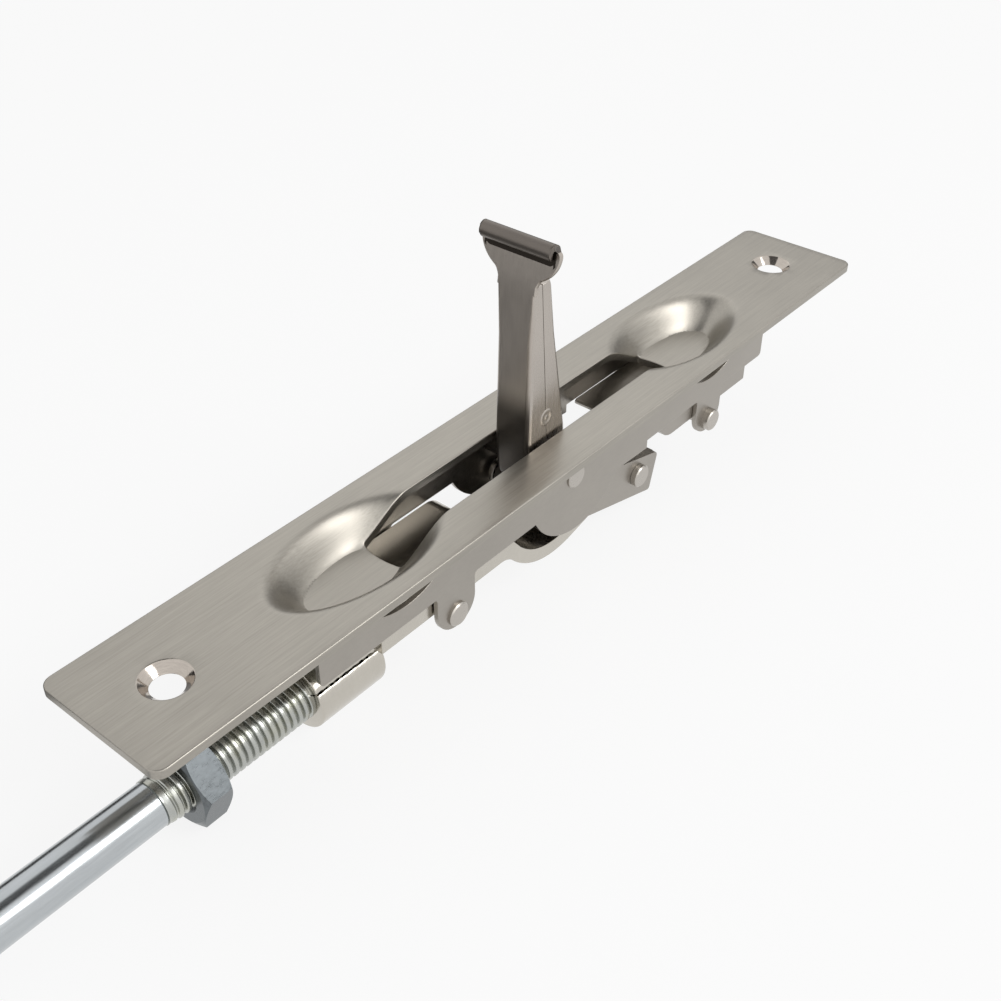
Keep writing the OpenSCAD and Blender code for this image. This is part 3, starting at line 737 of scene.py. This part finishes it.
def head_place(v, y, u):
    """From the head's sheet, v back through it and u up along it, to where it stands.

    Below the bend the sheet follows the shank's front and sinks into it.
    """
    if u < 0:
        sink = 0.008
        forward = NECK_SET_IN - SHANK_HIGH + v + u * (SHANK_SLOPE - sink)
        return lever_place(forward, y, SHANK_TOP + u)
    c, s = math.cos(HEAD_TILT), math.sin(HEAD_TILT)
    return lever_place(NECK_SET_IN - SHANK_HIGH + v * c + u * s, y, SHANK_TOP - v * s + u * c)


def head_low(y):
    """Where the sheet starts: inside the shank at the neck, and on the round chin beside it."""
    chin = ROLL_UP - HEAD_SIDE_H - CHIN_DROP * math.sqrt(max(0.0, 1 - (y / HEAD_HALF_W) ** 2))
    fillet, fillet_w = 1.2, 0.9
    inward = max(0.0, 1 - (abs(y) - SHANK_HALF_W) / fillet_w)
    return chin - fillet * inward ** 2


def head_section(y, low):
    """The sheet from its rounded lower edge up and forwards round the curl.

    The curl gets shorter towards the roll's ends, which rounds them, and the sheet is lower beside it.
    """
    soft, corner = 0.28, 0.30
    roll_round, full_curl = 0.6, 288
    side_drop = HEAD_SIDE_H - 0.15
    end_share = min(1.0, max(0.0, 1 + (abs(y) - ROLL_HALF_L) / roll_round))
    curl = full_curl * math.sqrt(1 - end_share ** 2)
    past = max(0.0, (abs(y) - ROLL_HALF_L) / (HEAD_HALF_W - ROLL_HALF_L))
    top = ROLL_UP - side_drop * (1 - math.sqrt(1 - min(1.0, past) ** 2))
    flat = min(soft, (top - low) / 2)
    rise = max(low + flat, 0.0)
    bend = rise + 0.02
    # The crease row is where the painted shadow under the roll ends
    crease = max(top - CREASE_SHADOW_DROP, rise + (top - rise) * 0.4)
    upper = max(top - 0.8, rise + (top - rise) * 0.7)
    middle = (crease + bend) / 2
    back = [(SHELL_T - corner * soft, low + corner * flat), (SHELL_T, low + flat), (SHELL_T, bend)]
    back += [(SHELL_T, middle), (SHELL_T, upper)]
    outer = arc(ROLL_V, top, ROLL_R, 0, curl, 40)
    inner = arc(ROLL_V, top, ROLL_R - SHELL_T, curl, 0, 40)
    front = [(0, upper), (0, crease), (0, middle), (0, bend), (0, low + flat)]
    front += [(corner * soft, low + corner * flat)]
    edge = [(soft, low), (SHELL_T - soft, low)]
    return [head_place(v, y, u) for v, u in back + outer + inner + front + edge]


def build_head():
    """Sections across the head: the lap that runs down the shank, then neck, chin and roll."""
    neck = SHANK_HALF_W + 0.02
    flat_low, flat_high, short_lap = 2.6, 3.3, 0.3
    run = (NECK_LAP - short_lap) / (flat_high - flat_low)
    inside = [(y, -NECK_LAP) for y in (0.0, 0.9, 1.8, flat_low)]
    inside += [(y, (y - flat_low) * run - NECK_LAP) for y in (2.85, 3.1, flat_high)]
    inside += [(neck, -short_lap)]
    widths = [neck, 3.8, 4.0, 4.25, 4.55, 5.0, 5.5, 5.9]
    widths += [ROLL_HALF_L - d for d in (0.85, 0.6, 0.45, 0.3, 0.17, 0.08, 0.03, 0.0)]
    # The first of these lies 0.05 inside the last one above, and the sheet doubles over in between
    widths += [HEAD_HALF_W - d for d in (0.6, 0.45, 0.3, 0.17, 0.08, 0.03, 0.0)]
    half = inside + [(y, head_low(y)) for y in widths]
    stations = [(-y, low) for y, low in reversed(half)] + half[1:]
    return loft([head_section(y, low) for y, low in stations])


def shank_lid(sign, half_w, depth):
    """The closed top of one shell, just under its edge."""
    under_edge, from_seam = 0.03, 0.1
    top = SHANK_LID - under_edge
    near, far = sorted((sign * from_seam, sign * depth))
    outline = [(near, -half_w), (far, -half_w), (far, half_w), (near, half_w)]
    verts, faces = prism(outline, top - SHELL_T, top, "z")
    return [lever_place(x, y, h) for x, y, h in verts], faces


def shade_lever(front_sheet, head_sheet):
    """The front's tone, with painted shade towards its foot, on the shank; on the head, the roll in painted
    shade and the crease under it in painted shadow.
    """
    front_sheet.data.materials.append(LEVER_FRONT_PAINTED_SHADE)
    # The faces that look forwards take the front's material, with its painted shade at the foot
    faces_front = -0.6
    for polygon in front_sheet.data.polygons:
        if polygon.normal.x < faces_front:
            polygon.material_index = 1
    head_sheet.data.materials.append(LEVER_ROLL_PAINTED_SHADE)
    head_sheet.data.materials.append(LEVER_CREASE_PAINTED_SHADOW)
    tilt = HEAD_TILT - LEVER_LEAN
    origin_x, _, origin_z = head_place(0.0, 0.0, 0.0)
    skin = 0.05
    for polygon in head_sheet.data.polygons:
        c = polygon.center / MM
        x, z = c.x - origin_x, c.z - origin_z
        v = x * math.cos(tilt) - z * math.sin(tilt)
        u = x * math.sin(tilt) + z * math.cos(tilt)
        # Painted shade: the roll takes the darkened roll material
        if v < -skin or u > ROLL_UP:
            polygon.material_index = 1
        # Painted shadow: the band of the front just under the roll takes the near-black material
        elif v < skin and u > ROLL_UP - CREASE_SHADOW_DROP and abs(c.y) < ROLL_HALF_L - 0.1:
            polygon.material_index = 2


front_lid = shank_lid(-1, half_w=SHANK_HALF_W - 0.04, depth=SHANK_HIGH - SHELL_T + 0.5)
back_lid = shank_lid(1, half_w=SHANK_HALF_W - SHELL_T + 0.1, depth=SHANK_HIGH - SHELL_T - 0.1)
front_piece = add_piece(
    "lever_front_sheet", merged(shell(-1), front_lid), "lever", LEVER,
    ["lever_front_shell"], bevel=0.1, sharp=40,
)
head_piece = add_piece(
    "lever_head_sheet", build_head(), "lever", LEVER_FRONT_PAINTED_SHADE, ["lever_front_shell"], sharp=50,
)
add_piece(
    "lever_back_sheet", merged(shell(1), back_lid), "lever", LEVER,
    ["lever_back_shell"], bevel=0.1, sharp=40,
)
shade_lever(front_piece, head_piece)


def weld_mark(side):
    """A low round spot weld across the seam, with a dimple in its middle."""
    weld_h = 9.6
    profile = [(-0.3, 1.6), (0.02, 1.6), (0.10, 1.45), (0.13, 1.25), (0.10, 1.0), (0.03, 0.8), (0.03, 0.45),
               (0.09, 0.3), (0.10, 0.12)]

    def place(along, radius, angle):
        y = side * (SHANK_HALF_W + along)
        return lever_place(radius * math.cos(angle), y, weld_h + radius * math.sin(angle))
    return lathe(profile, 40, place)


add_piece("lever_weld_marks", merged(weld_mark(-1), weld_mark(1)), "lever", LEVER, sharp=60)


# Link

def link_place(u, y, v):
    """From the link's level frame, about its crank pin hole, to where it lies."""
    c, s = math.cos(LINK_TILT), math.sin(LINK_TILT)
    return CRANK_X + u * c + v * s, y, CRANK_Z - u * s + v * c


def build_link():
    """Two cheeks and the web between them, which is notched where the crank passes."""
    above, below, t = 3.3, 4.7, 1.0
    boss, neck, slant, step = 2.4, 1.5, 0.9, 7.3
    low_r, end_r, fold_r = 0.6, 1.0, 1.1
    web_x, notch_x, notch_half_w = 12.0, 17.0, 4.0
    overlap, web_set_back, web_set_in, beside_set_in, inner_soft = 0.3, 0.45, 0.02, 0.05, 0.1
    right = LINK_L + 6.0
    w = LINK_HALF_W
    cheek = arc(0, 0, boss, 90, 270, 20) + [(step - slant, -neck), (step, -below)]
    cheek += arc(right - low_r, low_r - below, low_r, -90, 0, 4)
    cheek += arc(right - end_r, above - end_r, end_r, 0, 90, 5) + [(step, above)]
    parts = [prism(cheek, *sorted((side * (w - t), side * w)), "y") for side in (-1, 1)]
    section = [(-w + web_set_in, above - fold_r)]
    section += [(-w + fold_r - fold_r * math.cos(a), above - fold_r + fold_r * math.sin(a))
                for a in np.linspace(0.1, math.pi / 2, 6)]
    section += [(-y, v) for y, v in reversed(section)]
    section += [(w - t, above - fold_r), (w - t - inner_soft, above - t),
                (-w + t + inner_soft, above - t), (-w + t, above - fold_r)]
    parts.append(prism(section, notch_x, right - web_set_back, "x"))
    beside = [(web_x, above - t), (notch_x + overlap, above - t), (notch_x + overlap, above), (web_x, above)]
    for side in (-1, 1):
        lo, hi = sorted((side * notch_half_w, side * (w - beside_set_in)))
        parts.append(prism(beside, lo, hi, "y"))
    verts, faces = merged(*parts)
    return [link_place(u, y, v) for u, y, v in verts], faces


add_piece(
    "link_sheet", build_link(), "link", SATIN, ["link"], bevel=0.12, sharp=40,
)


# Tail plate

def build_tail_plate():
    """A plate between the side plates whose thin end reaches towards the lever."""
    end_x, full_x, thin_x, thin_t = 56.4, 31.0, TAIL_LIP_X, 1.15
    lip_r, lip_a = 4.3, 50
    curve = arc(full_x, BAR_LOW_Z + lip_r, lip_r, 270, 270 - lip_a, 10)
    thin_z = FLAT_TOP_Z - thin_t
    soft, lip_run = 0.35, 1.4
    outline = [(thin_x + soft, FLAT_TOP_Z), (end_x, FLAT_TOP_Z), (end_x, BAR_LOW_Z)] + curve
    outline += [(curve[-1][0] - lip_run, thin_z), (thin_x + soft, thin_z), (thin_x, thin_z + soft),
                (thin_x, FLAT_TOP_Z - soft)]
    return prism(outline, -SIDE_IN, SIDE_IN, "y")


add_piece(
    "tail_plate_sheet", build_tail_plate(), "frame", SATIN, ["tail_plate"],
    bevel=0.12, sharp=30,
)


# Slider with its rolled socket

def bar_stations():
    """(top x, top z, low x, low z) along the bar, from the socket to the link pin."""
    bend_x, bend_r, bend_a = -18.8, 5.4, 48.0
    top_bend_x, top_bend_r = -18.65, 4.0
    low_bend_r = bend_r - BAR_T / 2
    trough_r, drop, rise_r, rise_a = 14.0, 6.45, 18.0, 14.0
    tongue_x, crest_run = 5.0, 1.5
    rad = math.radians
    low_x = (bend_x + (bend_r + trough_r) * math.sin(rad(bend_a))
             + (drop - (bend_r + trough_r) * (1 - math.cos(rad(bend_a)))) / math.tan(rad(bend_a)))
    low_z = BAR_MID_Z - drop
    rise_x = low_x + rise_r * math.sin(rad(rise_a))
    rise_z = low_z + rise_r * (1 - math.cos(rad(rise_a)))
    crest_x = tongue_x + crest_run
    crest_z = rise_z + (crest_x - rise_x) * math.tan(rad(rise_a))
    stations = [(x, FLAT_TOP_Z, x, BAR_LOW_Z) for x in (SOCKET_X, -52, BAR_WIDE_X, -40, -33, -26)]
    for a in np.linspace(0, bend_a, 11):
        run, fall = math.sin(rad(a)), 1 - math.cos(rad(a))
        stations.append((top_bend_x + top_bend_r * run, FLAT_TOP_Z - top_bend_r * fall,
                         bend_x + low_bend_r * run, BAR_LOW_Z - low_bend_r * fall))
    line = []
    for a in np.linspace(bend_a, 0, 17):
        line.append((low_x - trough_r * math.sin(rad(a)), low_z + trough_r * (1 - math.cos(rad(a))), -a))
    for a in np.linspace(0, rise_a, 7)[1:]:
        line.append((low_x + rise_r * math.sin(rad(a)), low_z + rise_r * (1 - math.cos(rad(a))), a))
    line.append((tongue_x, rise_z + (tongue_x - rise_x) * math.tan(rad(rise_a)), rise_a))
    line.append((crest_x, crest_z, rise_a / 2))
    line.append((LINK_PIN_X, LINK_PIN_Z, 0.0))
    for x, z, slope in line:
        dx, dz = -BAR_T / 2 * math.sin(rad(slope)), BAR_T / 2 * math.cos(rad(slope))
        stations.append((x + dx, z + dz, x - dx, z - dz))
    return stations, tongue_x


def build_bar():
    """The strip from the socket to the link pin, narrow at both ends."""
    stations, tongue_x = bar_stations()
    wide, tongue, neck = 8.5, 6.8, 5.5
    near = 0.01
    rings = []

    def ring(top_x, top_z, low_x, low_z, w):
        return [(top_x, -w, top_z), (top_x, w, top_z), (low_x, w, low_z), (low_x, -w, low_z)]

    for station in stations:
        x = (station[0] + station[2]) / 2
        if x < BAR_WIDE_X - near:
            widths = [neck]
        elif abs(x - BAR_WIDE_X) < near:
            widths = [neck, wide]
        elif abs(x - tongue_x) < near:
            widths = [wide, tongue]
        else:
            widths = [wide] if x < tongue_x else [tongue]
        rings += [ring(*station, w) for w in widths]
    return loft(rings)


def build_socket():
    """The strip's end rolled round the rod, with a thin ragged seam high on the near side."""
    seam_angle = 180 - 33
    half_gap = 2.0
    steps = 96
    worn = 1 - 0.12 / SOCKET_R
    soft = ((0.0, 0.30), (0.05, 0.16), (0.14, 0.06), (0.30, 0.0))
    stations = [(SOCKET_X + run, inset) for run, inset in soft]
    stations += [(x, 0.0) for x in np.linspace(SOCKET_X + 0.5, SOCKET_END_X - 0.5, 60)]
    stations += [(SOCKET_END_X - run, inset) for run, inset in reversed(soft)]
    rings = []
    for x, inset in stations:
        ragged = 0.5 * math.sin(x * 2.3) + 0.35 * math.sin(x * 5.9 + 1) + 0.25 * math.sin(x * 11.3)
        low = seam_angle + half_gap + 0.7 * ragged
        high = seam_angle + 360 - half_gap + 0.4 * math.sin(x * 3.7)
        outer = arc(0, ROD_Z, SOCKET_R - inset, low, high, steps)
        inner = arc(0, ROD_Z, THREAD_R, high, low, steps)
        for end in (0, -1):
            y, z = outer[end]
            outer[end] = (y * worn, ROD_Z + (z - ROD_Z) * worn)
        rings.append([(x, y, z) for y, z in outer + inner])
    return loft(rings)


def socket_neck():
    """The metal between the strip's flat end and the rolled socket."""
    foot_half, top_half, overlap, set_in = 2.9, 5.4, 0.1, 0.15
    low = ROD_Z + THREAD_R + 0.2
    top = BAR_LOW_Z + overlap
    outline = [(-foot_half, low), (foot_half, low), (top_half, top), (-top_half, top)]
    return prism(outline, SOCKET_X + set_in, SOCKET_END_X - set_in, "x")


def link_eye():
    """The tongue's end round the link pin."""
    half_w, r = 6.8, 1.8

    def place(along, radius, angle):
        return LINK_PIN_X + radius * math.cos(angle), along, LINK_PIN_Z + radius * math.sin(angle)
    return lathe([(-half_w, r), (half_w, r)], 40, place)


add_piece(
    "slider_bar", merged(build_bar(), socket_neck(), link_eye()), "slider",
    SLIDER, ["slider"], bevel=0.2, sharp=38,
)
add_piece("slider_socket", build_socket(), "slider", SLIDER, ["slider"], sharp=40)


# Bolt rod, thread and lock nut

def around_rod(along, radius, angle):
    return along, radius * math.cos(angle), ROD_Z + radius * math.sin(angle)


def build_rod():
    """The plain rod, with a chamfered end and a small shoulder at the thread."""
    chamfer = 1.0
    profile = [(ROD_END_X, ROD_R - chamfer), (ROD_END_X + chamfer, ROD_R)]
    profile += [(x, ROD_R) for x in np.linspace(ROD_END_X + 10, SHOULDER_X - 0.3, 8)]
    profile += [(SHOULDER_X, ROD_R - 0.2)]
    return lathe(profile, 96, around_rod)


def build_thread():
    """A rolled thread whose first turns run out at the shoulder."""
    per_turn, around = 14, 72
    depth, root_flat, flank = 0.68, 0.06, 0.54
    run_out, least = 2.2, 0.12
    first_root, first_crest = 0.35, 0.55
    x0, x1 = SHOULDER_X - 0.1, SOCKET_END_X - 1.0
    count = int((x1 - x0) / PITCH * per_turn)
    rings = []
    for k in range(count + 1):
        x = x0 + (x1 - x0) * k / count
        grown = min(1.0, max(least, (x - x0) / run_out))
        low = THREAD_R - depth * (first_root + (1 - first_root) * grown)
        high = THREAD_R - depth + depth * (first_crest + (1 - first_crest) * grown)
        ring = []
        for i in range(around):
            phase = (x / PITCH - i / around) % 1.0
            ridge = 1 - abs(2 * phase - 1)
            crest = min(1.0, max(0.0, (ridge - root_flat) / flank))
            crest = crest * crest * (3 - 2 * crest)
            ring.append(around_rod(x, low + (high - low) * crest, 2 * math.pi * i / around))
        rings.append(ring)
    return loft(rings)


def build_nut():
    """A chamfered hexagon nut with a bored centre."""
    steps = 120
    half = NUT_AF / 2
    face_r = half * 0.96
    slope = math.tan(math.radians(28))
    angles = [2 * math.pi * i / steps for i in range(steps)]
    turn = math.radians(20)

    def round_ring(x, r):
        return [around_rod(x, r, a + turn) for a in angles]

    def hexagon_ring(x, inwards):
        """The six sides, further from the face where they are wider."""
        ring = []
        for a in angles:
            r = half / math.cos((a + math.pi / 6) % (math.pi / 3) - math.pi / 6)
            ring.append(around_rod(x + inwards * (r - face_r) * slope, r, a + turn))
        return ring

    x0, x1 = NUT_X, NUT_X + NUT_H
    bore = THREAD_R + 0.02
    lip_h, lip_w = 0.5, 0.45
    return loft([
        round_ring(x0 + lip_h, bore),
        round_ring(x0, bore + lip_w),
        round_ring(x0, face_r),
        hexagon_ring(x0, 1),
        hexagon_ring(x1, -1),
        round_ring(x1, face_r),
        round_ring(x1, bore + lip_w),
        round_ring(x1 - lip_h, bore),
        round_ring(x0 + lip_h, bore),
    ], caps=False)


add_piece("bolt_rod_plain", build_rod(), "slider", ZINC_ROD, ["bolt_rod"], sharp=30)
add_piece("bolt_rod_thread", build_thread(), "slider", ZINC_THREAD, ["bolt_rod"], sharp=70)
add_piece("lock_nut_hexagon", build_nut(), "slider", ZINC_NUT, ["lock_nut"], sharp=18)


# CAD nodes that keep their own shape

# The spacers and the crank take the steel darkened as painted shade
KEPT = {
    "pivot_spacer_near": SPACER_PAINTED_SHADE, "pivot_spacer_far": SPACER_PAINTED_SHADE,
    "lever_crank": SPACER_PAINTED_SHADE, "crank_pin": PIN, "crank_spacer_near": SPACER_PAINTED_SHADE, "crank_spacer_far": SPACER_PAINTED_SHADE,
}
for node, material in KEPT.items():
    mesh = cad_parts[node].data
    mesh.materials.clear()
    mesh.materials.append(material)


# Floor, light and camera

def white_ground(name, color):
    """Pale and shadowed by the lamps, and nearly white where a camera or a mirror looks at it."""
    material = bpy.data.materials.new(name)
    n = Nodes(material)
    share = n.add("ShaderNodeMath")
    share.operation = "MULTIPLY"
    share.inputs[1].default_value = 0.85
    n.link(n.seen_directly(), "Value", share, 0)
    mix = n.add("ShaderNodeMixShader")
    n.link(share, "Value", mix, "Fac")
    n.link(n.add("ShaderNodeBsdfDiffuse", Color=color + (1,)), "BSDF", mix, 1)
    n.link(n.add("ShaderNodeEmission", Color=(1, 1, 1, 1), Strength=1.0), "Emission", mix, 2)
    n.link(mix, "Shader", n.add("ShaderNodeOutputMaterial"), "Surface")
    return material


def stage_plane(name, center, half_x, half_y, normal, material):
    """A flat rectangle that isn't part of the object."""
    mesh = bpy.data.meshes.new(name)
    corners = [(-half_x, -half_y, 0), (half_x, -half_y, 0), (half_x, half_y, 0), (-half_x, half_y, 0)]
    mesh.from_pydata(corners, [], [(0, 1, 2, 3)])
    mesh.materials.append(material)
    obj = bpy.data.objects.new(name, mesh)
    obj.rotation_mode = "QUATERNION"
    obj.rotation_quaternion = Vector(normal).to_track_quat("Z", "Y")
    obj.location = center
    bpy.context.scene.collection.objects.link(obj)
    return obj


FLOOR_GAP = 0.0004
FLOOR_HALF = 3.0
floor_center = (0.0, 0.0, CAD_BOX[0][2] - FLOOR_GAP)
floor_white = white_ground("floor_pale", (0.9, 0.9, 0.9))
stage_plane("floor", floor_center, FLOOR_HALF, FLOOR_HALF, (0, 0, 1), floor_white)


def dark_card(name, center, half_x, half_y, normal, shade):
    """A dark board that only reflections see, as in a product studio."""
    material = bpy.data.materials.new(name)
    n = Nodes(material)
    glow = n.add("ShaderNodeEmission", Color=(shade, shade, shade, 1), Strength=1.0)
    n.link(glow, "Emission", n.add("ShaderNodeOutputMaterial"), "Surface")
    card = stage_plane(name, center, half_x, half_y, normal, material)
    card.visible_camera = False
    card.visible_diffuse = False
    card.visible_shadow = False
    card.visible_transmission = False


# Name, middle, half sizes, the way it faces and its brightness
CARDS = (
    ("card_over", (-0.06, 0.0, 0.42), 0.16, 0.13, (0, 0, -1), 0.12),
    ("card_behind", (0.15, 0.38, 0.02), 0.45, 0.075, (0, -1, 0), 0.05),
    ("card_left", (-0.22, 0.20, -0.020), 0.20, 0.17, (0, 0, 1), 0.24),
    ("card_right", (0.45, 0.08, 0.05), 0.25, 0.08, (-1, 0, 0), 0.15),
)
for card_values in CARDS:
    dark_card(*card_values)


def area_light(name, place, size, power):
    """A rectangular lamp that points at the object."""
    light = bpy.data.lights.new(name, "AREA")
    light.shape = "RECTANGLE"
    light.size, light.size_y = size
    light.energy = power
    obj = bpy.data.objects.new(name, light)
    obj.location = place
    obj.rotation_mode = "QUATERNION"
    obj.rotation_quaternion = (-Vector(place)).to_track_quat("-Z", "Y")
    bpy.context.scene.collection.objects.link(obj)


# Name, place, size and power
LAMPS = (
    ("softbox_right", (0.197, -0.54, 0.48), (0.35, 0.30), 1.5),
    ("softbox_front", (-0.25, -0.6, 0.35), (0.5, 0.4), 0.5),
    ("softbox_back", (0.5, 0.45, 0.5), (0.6, 0.3), 0.15),
)
for lamp_values in LAMPS:
    area_light(*lamp_values)


def build_world():
    """White to look at, and weaker as a light on the object."""
    world = bpy.data.worlds.new("studio")
    bpy.context.scene.world = world
    n = Nodes(world)
    strength = n.add("ShaderNodeMapRange", To_Min=0.6, To_Max=1.0)
    n.link(n.seen_directly(), "Value", strength, "Value")
    background = n.add("ShaderNodeBackground", Color=(1, 1, 1, 1))
    n.link(strength, "Result", background, "Strength")
    n.link(background, "Background", n.add("ShaderNodeOutputWorld"), "Surface")


build_world()
bpy.context.scene.view_settings.view_transform = "Standard"


def build_camera():
    """The photograph's view. The image is 1001 pixels square."""
    image_size = 1001
    focal_px = 1297.83
    azimuth, elevation, roll = (math.radians(v) for v in (50.236, 37.183, -0.1035))
    place = Vector((-144.745, -113.030, 124.884)) * MM
    forward = Vector((math.sin(azimuth) * math.cos(elevation),
                      math.cos(azimuth) * math.cos(elevation), -math.sin(elevation)))
    level = forward.cross(Vector((0, 0, 1))).normalized()
    down = forward.cross(level)
    right = math.cos(roll) * level + math.sin(roll) * down
    up = math.sin(roll) * level - math.cos(roll) * down
    rotation = Matrix((right, up, -forward)).transposed()
    data = bpy.data.cameras.new("camera")
    data.sensor_width = 36.0
    data.lens = data.sensor_width * focal_px / image_size
    data.clip_start = 0.01
    data.clip_end = 20.0
    obj = bpy.data.objects.new("camera", data)
    obj.matrix_world = Matrix.Translation(place) @ rotation.to_4x4()
    bpy.context.scene.collection.objects.link(obj)
    bpy.context.scene.camera = obj


build_camera()
